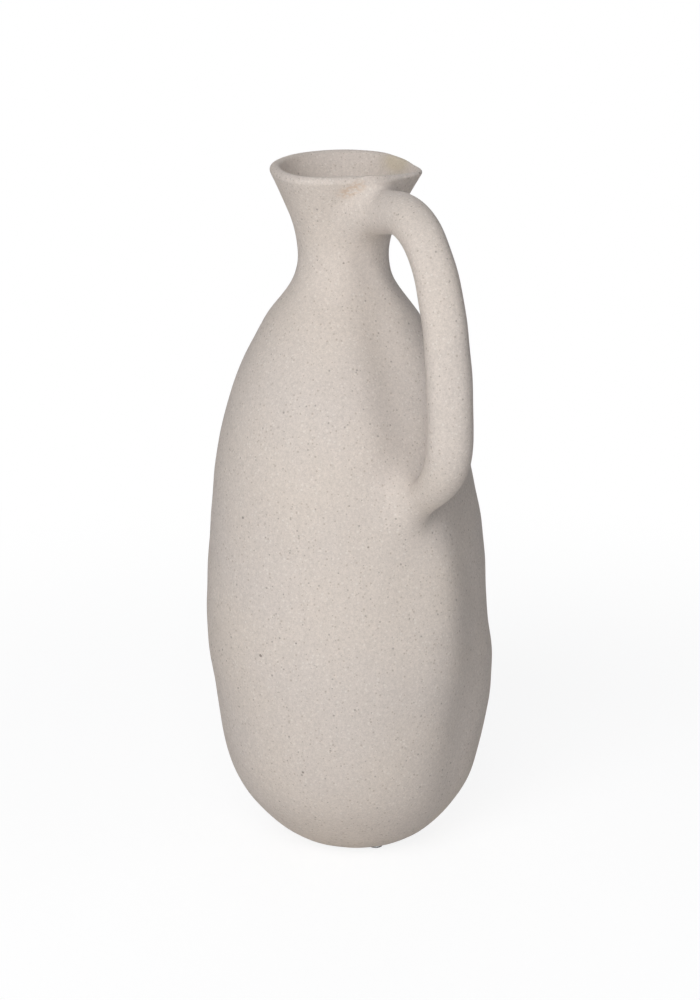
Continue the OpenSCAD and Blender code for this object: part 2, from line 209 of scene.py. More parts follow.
def profile_curve(steps=64):
    """The smooth curve through the stations, as rows of radius, height and lean."""
    chords = np.linalg.norm(np.diff(STATIONS[:, :2], axis=0), axis=1)
    slopes = np.diff(STATIONS, axis=0) / chords[:, None]
    before, after = chords[:-1, None], chords[1:, None]
    inner = (slopes[1:] * before + slopes[:-1] * after) / (before + after)
    first = (math.cos(HEEL_ANGLE), math.sin(HEEL_ANGLE), 0.0)
    last = 1.5 * slopes[-1] - 0.5 * inner[-1]
    tangents = np.vstack((first, inner, last))
    u = np.linspace(0.0, 1.0, steps, endpoint=False)[:, None]
    rows = []
    for i, chord in enumerate(chords):
        rows.append((2 * u ** 3 - 3 * u ** 2 + 1) * STATIONS[i]
                    + (u ** 3 - 2 * u ** 2 + u) * chord * tangents[i]
                    + (3 * u ** 2 - 2 * u ** 3) * STATIONS[i + 1]
                    + (u ** 3 - u ** 2) * chord * tangents[i + 1])
    rows.append(STATIONS[-1:])
    return np.vstack(rows)


CURVE = profile_curve()
CURVE_R, CURVE_Z, CURVE_LEAN = CURVE.T
CURVE_SLOPE = np.gradient(CURVE_R) / np.gradient(CURVE_Z)


def swell(offset, spread):
    return np.exp(-(offset / spread) ** 2)


def turn_between(a, b):
    return (a - b + 180.0) % 360.0 - 180.0


def eased(x):
    x = np.clip(x, 0.0, 1.0)
    return x * x * (3 - 2 * x)


def unit(vectors):
    return vectors / np.linalg.norm(vectors, axis=-1, keepdims=True)


def unevenness(z, a):
    waves = 0.0
    for turns, climb, start in zip(TOUCH_TURNS, TOUCH_RISES, TOUCH_STARTS):
        waves = waves + np.sin(turns * np.radians(a) + climb * z + start)
    return TOUCH_DEPTH * (waves / math.sqrt(TOUCH_WAVES) - TOUCH_SINK)


def mouth_share(z):
    return (np.maximum(z - NECK_Z, 0.0) / (MOUTH_Z - NECK_Z)) ** 2


def mouth_drop(z, a):
    return MOUTH_TILT * mouth_share(z) * (1 + np.cos(np.radians(a - TILT_TURN))) / 2


def lip_share(z, a):
    return 1 - SPOUT_THIN * mouth_share(z) * swell(turn_between(a, SPOUT_TURN), THIN_SPREAD)


def outer_radius(z, a):
    """Radius of the vessel's outside at a height and a direction."""
    r = np.interp(z, CURVE_Z, CURVE_R)
    for way, station, palms, half_angle, half_height, push in HAND_MARKS:
        mark_z = station + palms * PALM_H
        r = r + push * swell(turn_between(a, way), half_angle) * swell(z - mark_z, half_height * PALM_H)
    for way, half_angle, push in MOUTH_MARKS:
        r = r + mouth_share(z) * push * swell(turn_between(a, way), half_angle)
    return r + unevenness(z, a)


def lean(z):
    offset = np.interp(z, CURVE_Z, CURVE_LEAN)
    return offset * math.cos(LEAN_ANGLE), offset * math.sin(LEAN_ANGLE)


def skin(z, depth, beyond, a):
    """Points of the wall, by height, depth below the outside, distance past the mouth, and direction."""
    slope = np.interp(z, CURVE_Z, CURVE_SLOPE)
    length = np.hypot(1.0, slope) / lip_share(z, a)
    r = outer_radius(z, a) + (beyond * slope - depth) / length
    lean_x, lean_y = lean(z)
    x = lean_x + r * np.cos(np.radians(a))
    y = lean_y + r * np.sin(np.radians(a))
    height = z + (beyond + depth * slope) / length - mouth_drop(z, a)
    return np.stack(np.broadcast_arrays(x, y, height), axis=-1)


def thickness(z):
    return np.interp(z, (FOOT_Z, HEEL_Z, NECK_Z, MOUTH_Z), (FLOOR_T, WALL_T, WALL_T, LIP_T))


# The vessel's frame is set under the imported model's by one of its bumper feet.
pad_ring_r = FOOT_R - PAD_INSET - PAD_R
pad_ring_middle = np.array(lean(FOOT_Z))
pad_low, pad_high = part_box("foot_pad_handle")
pad_middle = pad_ring_middle + pad_ring_r * np.array((math.cos(PAD_TURN), math.sin(PAD_TURN)))
SHIFT = np.array((*(pad_middle - np.array((pad_low + pad_high) / 2)[:2] / MM), 0.0))


def to_model(points):
    return (np.asarray(points) - SHIFT) * MM


def to_vessel(points):
    return np.asarray(points) / MM + SHIFT


def placed(name, data):
    """A new object of the scene, at the origin."""
    made = bpy.data.objects.new(name, data)
    scene.collection.objects.link(made)
    return made


def grid_faces(rows, turns, closed):
    """Four corners for each step along a section and round the piece, wound to face outward."""
    i = np.arange(rows if closed else rows - 1)[:, None]
    k = np.arange(turns)[None, :]
    after, beside = (i + 1) % rows, (k + 1) % turns
    corners = (i * turns + k, i * turns + beside, after * turns + beside, after * turns + k)
    return np.stack([np.broadcast_to(c, (len(i), turns)) for c in corners], axis=-1)


def with_spare_rows(rows):
    """Rows with one more before and after them, in line with the two at each end."""
    return np.concatenate((2 * rows[:1] - rows[1:2], rows, 2 * rows[-1:] - rows[-2:-1]))


def grid_normals(points):
    """Normals of a grid that has one spare row before and after it."""
    along = points[2:] - points[:-2]
    sideways = np.roll(points[1:-1], -1, axis=1) - np.roll(points[1:-1], 1, axis=1)
    return unit(np.cross(sideways, along))


def grid_piece(name, grid, normals, smooth, finish, closed, caps=()):
    """A piece from a grid of rows and turns: faces between two smooth rows share their normals."""
    rows, turns = grid.shape[:2]
    points = grid.reshape(-1, 3)
    faces = grid_faces(rows, turns, closed)
    flat = unit(np.cross(points[faces[..., 2]] - points[faces[..., 0]],
                         points[faces[..., 3]] - points[faces[..., 1]]) + TINY)
    corners = np.broadcast_to(flat[:, :, None, :], faces.shape + (3,)).copy()
    for i in range(len(faces)):
        after = (i + 1) % rows
        if smooth[i] and smooth[i] == smooth[after]:
            corners[i] = normals.reshape(-1, 3)[faces[i]]
    face_list = faces.reshape(-1, 4).tolist()
    corner_list = corners.reshape(-1, 3).tolist()
    for row, way in caps:
        # A flat end closes as a fan about its middle.
        ring = np.arange(turns) + row % rows * turns
        hub = len(points)
        points = np.vstack((points, points[ring].mean(axis=0)))
        for k in range(turns):
            pair = (int(ring[k]), int(ring[(k + 1) % turns]))
            face_list.append([hub, *(pair[::-1] if way < 0 else pair)])
            corner_list.extend([[0.0, 0.0, float(way)]] * 3)
    mesh = bpy.data.meshes.new(name)
    mesh.from_pydata(to_model(points).tolist(), [], face_list, shade_flat=False)
    mesh.normals_split_custom_set(corner_list)
    mesh.materials.append(finish)
    return placed(name, mesh)


def heights(z1, z2, row):
    return np.linspace(z1, z2, max(2, math.ceil(abs(z2 - z1) / row) + 1))


def outside(z1, z2):
    z = heights(z1, z2, OUTER_ROW)
    return np.stack((z, np.zeros_like(z), np.zeros_like(z)), axis=-1)


def inside(z1, z2, cover=0.0):
    z = heights(z1, z2, INNER_ROW)
    return np.stack((z, thickness(z) + cover, np.zeros_like(z)), axis=-1)


def lap(z1, z2):
    """The two rows of a half-lap joint, in the middle of the wall."""
    return np.array([(z, thickness(z) / 2, 0.0) for z in (z1, z2)])


TURNS = np.arange(SIDES) * 360.0 / SIDES


def sweep(rows):
    return skin(rows[:, :1], rows[:, 1:2], rows[:, 2:], TURNS[None, :])


def swept_piece(name, strips, finish, closed=True, caps=()):
    """A piece swept round the vessel from strips of rows, each marked smooth or hidden."""
    grids, normals, smooth = [], [], []
    for number, (rows, is_smooth) in enumerate(strips, start=1):
        spare = with_spare_rows(rows)
        spare[:, 0] = np.clip(spare[:, 0], FOOT_Z, MOUTH_Z)
        grids.append(sweep(rows))
        normals.append(grid_normals(sweep(spare)) if is_smooth else np.zeros_like(grids[-1]))
        smooth.extend([number if is_smooth else 0] * len(rows))
    return grid_piece(name, np.vstack(grids), np.vstack(normals), smooth, finish, closed, caps)


def ring_strips(z1, z2):
    """The section of a clay ring: its outside, the lap at its top, its inside, the lap at its foot."""
    return (
        (outside(z1, z2), True),
        (lap(z2, z2 + LAP_H), False),
        (inside(z2 + LAP_H, z1 + LAP_H), True),
        (lap(z1 + LAP_H, z1), False),
    )


class Wire:
    """A socket of a node tree. Sums and products of wires add Math nodes to the tree."""

    def __init__(self, tree, socket=None):
        self.tree = tree
        self.socket = socket

    def node(self, kind, settings=None, sockets=None, output=0):
        """Adds a node, makes its settings, then fills its sockets with values or wires."""
        made = self.tree.nodes.new(kind)
        for key, value in (settings or {}).items():
            setattr(made, key, value)
        for key, value in (sockets or {}).items():
            if isinstance(value, Wire):
                self.tree.links.new(value.socket, made.inputs[key])
            else:
                made.inputs[key].default_value = value
        return Wire(self.tree, made.outputs[output] if made.outputs else None)

    def out(self, output):
        return Wire(self.tree, self.socket.node.outputs[output])

    def joined(self, operation, other, swapped=False):
        first, second = (other, self) if swapped else (self, other)
        return self.node("ShaderNodeMath", {"operation": operation}, {0: first, 1: second})

    def __add__(self, other):
        return self.joined("ADD", other)

    def __sub__(self, other):
        return self.joined("SUBTRACT", other)

    def __rsub__(self, other):
        return self.joined("SUBTRACT", other, True)

    def __mul__(self, other):
        return self.joined("MULTIPLY", other)

    def __truediv__(self, other):
        return self.joined("DIVIDE", other)

    def __rtruediv__(self, other):
        return self.joined("DIVIDE", other, True)

    def __lt__(self, other):
        return self.joined("LESS_THAN", other)

    __radd__ = __add__
    __rmul__ = __mul__


def paint(red, green, blue):
    """A colour as it looks on a screen, from 0 to 255, as the shader's own numbers."""
    shares = [c / 255.0 for c in (red, green, blue)]
    return (*(c / 12.92 if c <= 0.04045 else ((c + 0.055) / 1.055) ** 2.4 for c in shares), 1.0)


def new_finish(name):
    finish = bpy.data.materials.new(name)
    finish.use_nodes = True
    finish.node_tree.nodes.clear()
    return finish, Wire(finish.node_tree)


def grainy(place, scale, detail=2.0, roughness=0.5):
    return place.node("ShaderNodeTexNoise", None, {
        "Vector": place, "Scale": scale, "Detail": detail, "Roughness": roughness}, "Fac")


def ramped(value, low, high, to_low=0.0, to_high=1.0):
    """A smooth step of a value, held between its two ends."""
    return value.node("ShaderNodeMapRange", {"interpolation_type": "SMOOTHSTEP"}, {
        "Value": value, "From Min": low, "From Max": high, "To Min": to_low, "To Max": to_high})


def blended(mask, under, over):
    return mask.node("ShaderNodeMix", {"data_type": "RGBA"}, {0: mask, 6: under, 7: over}, 2)


# The smallest speck's share of the largest one's radius, and the share of a speck that has its full tone
SPECK_LEAST = 0.4
SPECK_CORE = 0.55


def specks(place, cells, radius, share):
    """Round specks: of the cells to the metre, a share hold one speck of up to a radius in metres."""
    cell = place.node("ShaderNodeTexVoronoi", None, {"Vector": place, "Scale": cells}, "Distance")
    draw = cell.node("ShaderNodeSeparateColor", None, {"Color": cell.out("Color")}, "Red")
    reach = radius * cells * (SPECK_LEAST + (1.0 - SPECK_LEAST) * draw.out("Green"))
    return ramped(cell / reach, 1.0, SPECK_CORE) * (draw < share)


def speckled(place, colour, kinds):
    """A colour with each kind of speck laid over it in turn, and the masks of the specks by name."""
    masks = {}
    for kind, (cells, radius, share, strength, tint) in kinds.items():
        masks[kind] = specks(place, cells, radius, share)
        colour = blended(masks[kind] * strength, colour, paint(*tint))
    return colour, masks


def patches(place, middles, size):
    """A mask of soft patches about points of the vessel, each one at its middle and none at its size."""
    mask = 0.0
    for middle_at in middles:
        away = place.node("ShaderNodeVectorMath", {"operation": "SUBTRACT"},
                          {0: place, 1: tuple(to_model(middle_at))}, "Vector")
        scaled = place.node("ShaderNodeVectorMath", {"operation": "DIVIDE"},
                            {0: away, 1: tuple(s * MM for s in size)}, "Vector")
        length = place.node("ShaderNodeVectorMath", {"operation": "LENGTH"}, {0: scaled}, "Value")
        mask = mask + ramped(length, 1.0, 0.0)
    return mask.joined("MINIMUM", 1.0)


# The middle of a noise, and the values between which a cloudy blend of two tints runs
NOISE_MIDDLE = 0.5
CLOUDS = (0.3, 0.7)

# Stoneware: its two tints, and the scale of the clouds in which they blend
CLAY_TINTS = ((215, 205, 197), (218, 207, 197))
CLAY_CLOUD_SCALE = 17.0
# Scale to the metre, detail, and depth of tone of each grain, then how harsh and how high the grains are
CLAY_GRAINS = {
    "mottle": (240.0, 3.0, 0.10),
    "fleck": (700.0, 2.0, 0.33),
    "grain": (1500.0, 2.0, 0.34),
}
GRAIN_EDGE = 0.6
GRAIN_RISE = 0.4
# Cells to the metre, largest radius in metres, share of the cells, strength, and tint of each speck
CLAY_SPECKS = {
    "pale": (560.0, 0.0008, 0.5, 0.47, (236, 229, 221)),
    "tan": (500.0, 0.0007, 0.5, 0.40, (158, 140, 122)),
    "iron": (330.0, 0.00075, 0.3, 0.42, (104, 90, 78)),
    "coarse": (120.0, 0.001, 0.1, 0.60, (92, 78, 68)),
}
IRON_PIT = 0.2
COARSE_PIT = 0.25
# Roughness of the clay, what the grain adds to it and what a coarse speck takes from it
CLAY_ROUGHNESS = 0.80
GRAIN_ROUGHNESS = 0.14
COARSE_GLOSS = 0.2
# Heights and directions along the rusty smear below the mouth's edge, and its broken streaks
SMEAR = ((345.0, -29.0), (347.0, -24.0), (349.0, -18.5))
SMEAR_SIZE = (6.2, 6.2, 4.4)
SMEAR_STRENGTH = 0.42
SMEAR_TINT = (203, 168, 132)
STREAK_SCALE = (420.0, 420.0, 900.0)
STREAK_GAPS = (0.36, 0.6)
# Directions of the straw tint inside the mouth's edge, behind the spout
STRAW = (80.0, 95.0)
STRAW_SIZE = (14.0, 14.0, 9.0)
STRAW_STRENGTH = 0.42
STRAW_TINT = (212, 196, 160)


def stoneware():
    """Matte unglazed stoneware: warm greige clay, fine grain and scattered iron specks."""
    finish, root = new_finish("speckled_stoneware")
    place = root.node("ShaderNodeTexCoord", output="Object")
    clouds = ramped(grainy(place, CLAY_CLOUD_SCALE), *CLOUDS)
    clay = blended(clouds, *(paint(*tint) for tint in CLAY_TINTS))
    tone, height, grains = 1.0, 0.0, {}
    for kind, (scale, detail, depth) in CLAY_GRAINS.items():
        grains[kind] = grainy(place, scale, detail, GRAIN_EDGE)
        tone = tone + depth * (grains[kind] - NOISE_MIDDLE)
        height = height + GRAIN_RISE * grains[kind]
    clay = root.node("ShaderNodeVectorMath", {"operation": "SCALE"}, {0: clay, "Scale": tone}, "Vector")
    clay, masks = speckled(place, clay, CLAY_SPECKS)
    smear = patches(place, [skin(z, 0.0, 0.0, a) for z, a in SMEAR], SMEAR_SIZE)
    streaks = place.node("ShaderNodeMapping", None, {"Vector": place, "Scale": STREAK_SCALE})
    smear = smear * ramped(grainy(streaks, 1.0), *STREAK_GAPS)
    clay = blended(smear * SMEAR_STRENGTH, clay, paint(*SMEAR_TINT))
    straw = patches(place, [skin(MOUTH_Z, LIP_T, 0.0, a) for a in STRAW], STRAW_SIZE)
    clay = blended(straw * STRAW_STRENGTH, clay, paint(*STRAW_TINT))
    height = height - COARSE_PIT * masks["coarse"] - IRON_PIT * masks["iron"]
    bump = root.node("ShaderNodeBump", None, {"Strength": 0.35, "Distance": 0.00025, "Height": height})
    roughness = CLAY_ROUGHNESS + GRAIN_ROUGHNESS * grains["grain"] - COARSE_GLOSS * masks["coarse"]
    shader = root.node("ShaderNodeBsdfPrincipled", None, {
        "Base Color": clay, "Roughness": roughness, "Normal": bump, "Specular IOR Level": 0.25})
    root.node("ShaderNodeOutputMaterial", None, {"Surface": shader})
    return finish


# Liner glaze: its two tints, the scale and detail of its clouds, and its specks as for the clay
GLAZE_TINTS = ((206, 197, 186), (214, 206, 195))
GLAZE_CLOUDS = (60.0, 3.0)
GLAZE_SPECKS = {
    "iron": (230.0, 0.0005, 0.3, 0.55, (120, 104, 90)),
    "pinholes": (170.0, 0.0003, 0.12, 0.60, (150, 140, 128)),
}
# Heights in metres between which the glaze pools, and how much its edge wavers
POOL_EDGES = (0.075, 0.012)
POOL_WAVER = 0.02
POOL_STRENGTH = 0.6
POOL_TINT = (188, 183, 170)
# Roughness of the glaze, and what clouds and pinholes add to it
GLAZE_ROUGHNESS = 0.22
CLOUD_ROUGHNESS = 0.12
PINHOLE_ROUGHNESS = 0.2


def inner_glaze():
    """Clear liner glaze over the clay: paler and glossy, pooled and greyer on the floor."""
    finish, root = new_finish("liner_glaze")
    place = root.node("ShaderNodeTexCoord", output="Object")
    height = root.node("ShaderNodeSeparateXYZ", None, {0: place}, "Z")
    cloud = grainy(place, *GLAZE_CLOUDS)
    pooled = ramped(height + POOL_WAVER * (cloud - NOISE_MIDDLE), *POOL_EDGES)
    glaze = blended(ramped(cloud, *CLOUDS), *(paint(*tint) for tint in GLAZE_TINTS))
    glaze = blended(pooled * POOL_STRENGTH, glaze, paint(*POOL_TINT))
    glaze, masks = speckled(place, glaze, GLAZE_SPECKS)
    bump = root.node("ShaderNodeBump", None, {
        "Strength": 0.2, "Distance": 0.0003, "Height": cloud - masks["pinholes"]})
    roughness = GLAZE_ROUGHNESS + CLOUD_ROUGHNESS * cloud + PINHOLE_ROUGHNESS * masks["pinholes"]
    shader = root.node("ShaderNodeBsdfPrincipled", None, {
        "Base Color": glaze, "Roughness": roughness, "Normal": bump,
        "Coat Weight": 0.5, "Coat Roughness": 0.08})
    root.node("ShaderNodeOutputMaterial", None, {"Surface": shader})
    return finish


# Bumper rubber: its tint, the scale of its haze, and the dust up to a height in metres on hazy places
RUBBER_TINT = (232, 234, 234)
HAZE_SCALE = 900.0
DUST_H = 0.0007
DUST_PLACES = (0.4, 0.7)
DUST_STRENGTH = 0.5
DUST_TINT = (150, 146, 140)
# Roughness of the rubber, and what haze and dust add to it
RUBBER_ROUGHNESS = 0.12
HAZE_ROUGHNESS = 0.12
DUST_ROUGHNESS = 0.35


def clear_rubber():
    """Clear soft bumper: see-through, faintly hazed, with dust on the end that stands on the table."""
    finish, root = new_finish("clear_bumper_rubber")
    place = root.node("ShaderNodeTexCoord", output="Object")
    height = root.node("ShaderNodeSeparateXYZ", None, {0: place}, "Z")
    haze = grainy(place, HAZE_SCALE)
    dust = ramped(height, DUST_H, 0.0) * ramped(haze, *DUST_PLACES)
    colour = blended(dust * DUST_STRENGTH, paint(*RUBBER_TINT), paint(*DUST_TINT))
    roughness = RUBBER_ROUGHNESS + HAZE_ROUGHNESS * haze + DUST_ROUGHNESS * dust
    shader = root.node("ShaderNodeBsdfPrincipled", None, {
        "Base Color": colour, "Roughness": roughness, "IOR": 1.46, "Transmission Weight": 0.85})
    root.node("ShaderNodeOutputMaterial", None, {"Surface": shader})
    return finish


CLAY = stoneware()
GLAZE = inner_glaze()
RUBBER = clear_rubber()

# The vessel: five clay rings with half-lap joints, and the glaze on their inside. The first and last
# rows of the base and of the glaze close as flat ends, facing down and up.
FLOOR_CAPS = ((0, -1), (-1, 1))
clay_base = swept_piece("clay_base", (
    (outside(FOOT_Z, BASE_JOINT_Z), True),
    (lap(BASE_JOINT_Z, BASE_JOINT_Z + LAP_H), False),
    (inside(BASE_JOINT_Z + LAP_H, FOOT_Z), True),
), CLAY, closed=False, caps=FLOOR_CAPS)
clay_belly = swept_piece("clay_belly", ring_strips(BASE_JOINT_Z, BELLY_JOINT_Z), CLAY)
clay_shoulder = swept_piece("clay_shoulder", ring_strips(BELLY_JOINT_Z, SHOULDER_JOINT_Z), CLAY)
clay_neck = swept_piece("clay_neck", ring_strips(SHOULDER_JOINT_Z, NECK_JOINT_Z), CLAY)

rim_turn = np.linspace(0.0, math.pi, RIM_STEPS + 1)[1:-1]
rim = np.stack((np.full_like(rim_turn, MOUTH_Z), LIP_T / 2 * (1 - np.cos(rim_turn)),
                RIM_H * np.sin(rim_turn)), axis=-1)
glaze_top = NECK_JOINT_Z + LAP_H
clay_lip = swept_piece("clay_lip", (
    (np.vstack((outside(NECK_JOINT_Z, MOUTH_Z), rim, inside(MOUTH_Z, glaze_top))), True),
    (lap(glaze_top, NECK_JOINT_Z), False),
), CLAY)
glaze_lining = swept_piece("glaze_lining_coat", (
    (inside(FOOT_Z, glaze_top), True),
    (inside(glaze_top, FOOT_Z, GLAZE_T), True),
), GLAZE, closed=False, caps=FLOOR_CAPS)


# The handle: one rolled coil along two curves that meet at its farthest reach, in the plane y = 0.
def wall_x(z):
    return lean(z)[0] + outer_radius(z, 0.0) - unevenness(z, 0.0)


BOW_X = wall_x(BOW_Z) + FINGER_GAP + GRIP_R
TOP_X = wall_x(TOP_ROOT_Z)
LOW_X = wall_x(LOW_ROOT_Z)
# Each knot of the path with the pulls before and after it, as pairs of x and z
PATH_KNOTS = (
    ((TOP_X - TOP_PULL[0], TOP_ROOT_Z - TOP_PULL[1]), (TOP_X, TOP_ROOT_Z),
     (TOP_X + TOP_PULL[0], TOP_ROOT_Z + TOP_PULL[1])),
    ((BOW_X, BOW_Z + BOW_PULL_UP), (BOW_X, BOW_Z), (BOW_X, BOW_Z - BOW_PULL_DOWN)),
    ((LOW_X + LOW_PULL[0], LOW_ROOT_Z + LOW_PULL[1]), (LOW_X, LOW_ROOT_Z),
     (LOW_X - LOW_PULL[0], LOW_ROOT_Z - LOW_PULL[1])),
)


def in_plane(pair):
    return np.array((pair[0], 0.0, pair[1]))


def handle_curve(steps=400):
    """Points along the handle's middle line, the share of its length at each, and the reach's share."""
    u = np.linspace(0.0, 1.0, steps + 1)[:, None]
    v = 1 - u
    halves = []
    for first, second in zip(PATH_KNOTS[:-1], PATH_KNOTS[1:]):
        a, b, c, d = map(in_plane, (first[1], first[2], second[0], second[1]))
        halves.append(v ** 3 * a + 3 * v ** 2 * u * b + 3 * v * u ** 2 * c + u ** 3 * d)
    points = np.vstack((halves[0], halves[1][1:]))
    lengths = np.concatenate(((0.0,), np.cumsum(np.linalg.norm(np.diff(points, axis=0), axis=1))))
    return points, lengths / lengths[-1], lengths[steps] / lengths[-1]


PATH, PATH_SHARE, BOW_SHARE = handle_curve()
PATH_HEADING = unit(np.gradient(PATH, axis=0))


def handle_radius(share):
    return (TOP_GRIP_R + (GRIP_R - TOP_GRIP_R) * eased(share / BOW_SHARE)
            + (LOW_GRIP_R - GRIP_R) * eased((share - BOW_SHARE) / (1 - BOW_SHARE)))


def along_path(rows, share):
    return np.stack([np.interp(share, PATH_SHARE, rows[:, k]) for k in range(3)], axis=-1)


def new_tree(name, inputs):
    """A Geometry Nodes tree with named inputs, and its wires."""
    tree = bpy.data.node_groups.new(name, "GeometryNodeTree")
    for label, kind in inputs:
        tree.interface.new_socket(label, in_out="INPUT", socket_type=kind)
    tree.interface.new_socket("Geometry", in_out="OUTPUT", socket_type="NodeSocketGeometry")
    root = Wire(tree)
    return tree, root, root.node("NodeGroupInput")


def grown_mesh(carrier, tree, values):
    """The plain mesh that a tree makes on a carrier object with these inputs. The carrier is removed."""
    grower = carrier.modifiers.new("grow", "NODES")
    grower.node_group = tree
    for item in tree.interface.items_tree:
        if item.item_type == "SOCKET" and item.in_out == "INPUT" and item.name in values:
            grower[item.identifier] = values[item.name]
    bpy.context.view_layer.update()
    shown = carrier.evaluated_get(bpy.context.evaluated_depsgraph_get())
    mesh = bpy.data.meshes.new_from_object(shown)
    carrier.modifiers.remove(grower)
    bpy.data.objects.remove(carrier)
    return mesh


def handle_tree():
    """A tube along the path, whose radius eases from the upper root to the reach and the lower root."""
    number, count = "NodeSocketFloat", "NodeSocketInt"
    tree, root, given = new_tree("rolled_handle", (
        ("Path", "NodeSocketGeometry"), ("Rings", count), ("Sides", count), ("Reach share", number),
        ("Upper root radius", number), ("Grip radius", number), ("Lower root radius", number),
        ("Clay", "NodeSocketMaterial")))
    path = root.node("GeometryNodeResampleCurve", {"mode": "COUNT"},
                     {"Curve": given.out("Path"), "Count": given.out("Rings")})
    share = root.node("GeometryNodeSplineParameter", output="Factor")
    reach, grip = given.out("Reach share"), given.out("Grip radius")
    upper = ramped(share, 0.0, reach, given.out("Upper root radius"), grip)
    lower = ramped(share, reach, 1.0, 0.0, given.out("Lower root radius") - grip)
    section = root.node("GeometryNodeCurvePrimitiveCircle", {"mode": "RADIUS"},
                        {"Resolution": given.out("Sides"), "Radius": 1.0})
    tube = root.node("GeometryNodeCurveToMesh", None, {
        "Curve": path, "Profile Curve": section, "Scale": upper + lower, "Fill Caps": True})
    tube = root.node("GeometryNodeSetShadeSmooth", None, {"Geometry": tube})
    tube = root.node("GeometryNodeRealizeInstances", None, {"Geometry": tube})
    tube = root.node("GeometryNodeSetMaterial", None, {"Geometry": tube, "Material": given.out("Clay")})
    root.node("NodeGroupOutput", None, {"Geometry": tube})
    return tree


def handle_path():
    curve = bpy.data.curves.new("handle_path", "CURVE")
    curve.dimensions = "3D"
    spline = curve.splines.new("BEZIER")
    spline.resolution_u = PATH_STEPS
    spline.bezier_points.add(len(PATH_KNOTS) - 1)
    for point, knot in zip(spline.bezier_points, PATH_KNOTS):
        before, at, after = (to_model(in_plane(pair)) for pair in knot)
        point.handle_left_type = "FREE"
        point.handle_right_type = "FREE"
        point.co = at
        point.handle_left = before
        point.handle_right = after
    return placed("handle_path", curve)


def off_wall(points):
    """Distance outside the vessel, below nought in its wall."""
    z = points[..., 2]
    lean_x, lean_y = lean(z)
    x, y = points[..., 0] - lean_x, points[..., 1] - lean_y
    slope = np.interp(z, CURVE_Z, CURVE_SLOPE)
    a = np.degrees(np.arctan2(y, x))
    wall_r = outer_radius(np.minimum(z + mouth_drop(z, a), MOUTH_Z), a)
    return (np.hypot(x, y) - wall_r) / np.hypot(1.0, slope)


def land(points, way, level=0.0, reach=70.0, rounds=40):
    """Where lines from points along a way come to a level above the wall, by halving."""
    near, far = np.full(points.shape[:-1], -0.5 * reach), np.full(points.shape[:-1], reach)
    for _ in range(rounds):
        half = (near + far) / 2
        outer = off_wall(points + half[..., None] * way) > level
        near, far = np.where(outer, half, near), np.where(outer, far, half)
    return points + ((near + far) / 2)[..., None] * way


RING_SHARE = np.linspace(0.0, 1.0, HANDLE_RINGS)


def rolled(rings):
    """The handle's rings with the flats and soft waves of rolling, which fade towards the roots."""
    share = RING_SHARE[:, None]
    out = unit(rings - rings.mean(axis=1, keepdims=True))
    heading = along_path(PATH_HEADING, RING_SHARE)
    bend = np.stack((-heading[:, 2], np.zeros_like(RING_SHARE), heading[:, 0]), axis=-1)[:, None]
    angle = np.arctan2(out[..., 1], (out * bend).sum(axis=-1))
    fade = eased((share - FADE_START) / FADE_LENGTH) * eased((FADE_END - share) / FADE_LENGTH)
    wave = sum(np.sin(waves * angle + along * share + start) for waves, along, start in ROLL_WAVES)
    flats = GRIP_FLAT * np.cos(FLAT_COUNT * (angle - FLAT_TURN)) * handle_radius(share)
    return rings + (fade * (ROLL_DEPTH * (wave - ROLL_SINK) - flats))[..., None] * out


def stubbed(rings):
    """The handle's rings with a straight stub at each root, which ends in the wall."""
    rings = rings.copy()
    for stub, way, end in ((TOP_STUB, -1, 0), (LOW_STUB, 1, HANDLE_RINGS - 1)):
        heading = unit(along_path(PATH_HEADING, stub))
        first = int(np.searchsorted(RING_SHARE, stub)) - (1 if way > 0 else 0)
        landed = land(rings[first], way * heading, -STUB_DEPTH)
        for i in range(end, first, -way):
            rings[i] = landed + (i - end) / (first - end) * (rings[first] - landed)
    return rings


def finish_handle(mesh):
    """Rolls the tube and ends it in the wall, with smooth normals along it."""
    points = np.zeros(len(mesh.vertices) * 3)
    mesh.vertices.foreach_get("co", points)
    rings = stubbed(rolled(to_vessel(points.reshape(HANDLE_RINGS, HANDLE_SIDES, 3))))
    mesh.vertices.foreach_set("co", to_model(rings).ravel())
    normals = grid_normals(with_spare_rows(rings))
    outward = np.sign((normals * (rings - rings.mean(axis=1, keepdims=True))).sum(axis=-1).mean())
    normals = (outward * normals).reshape(-1, 3)
    mesh.update()
    corners = []
    for face in mesh.polygons:
        if len(face.vertices) == 4:
            corners.extend(normals[v].tolist() for v in face.vertices)
        else:
            corners.extend([list(face.normal)] * len(face.vertices))
    mesh.normals_split_custom_set(corners)


handle_mesh = grown_mesh(handle_path(), handle_tree(), {
    "Rings": HANDLE_RINGS, "Sides": HANDLE_SIDES, "Reach share": float(BOW_SHARE),
    "Upper root radius": TOP_GRIP_R * MM, "Grip radius": GRIP_R * MM,
    "Lower root radius": LOW_GRIP_R * MM, "Clay": CLAY})
finish_handle(handle_mesh)
clay_handle = placed("clay_handle", handle_mesh)


def around(turn, widths):
    """A width that eases between its values at even turns round the handle."""
    step = turn * len(widths) / 360.0
    side = np.floor(step).astype(int)
    ring = np.array((*widths, widths[0]))
    return ring[side] + (ring[side + 1] - ring[side]) * eased(step - side)


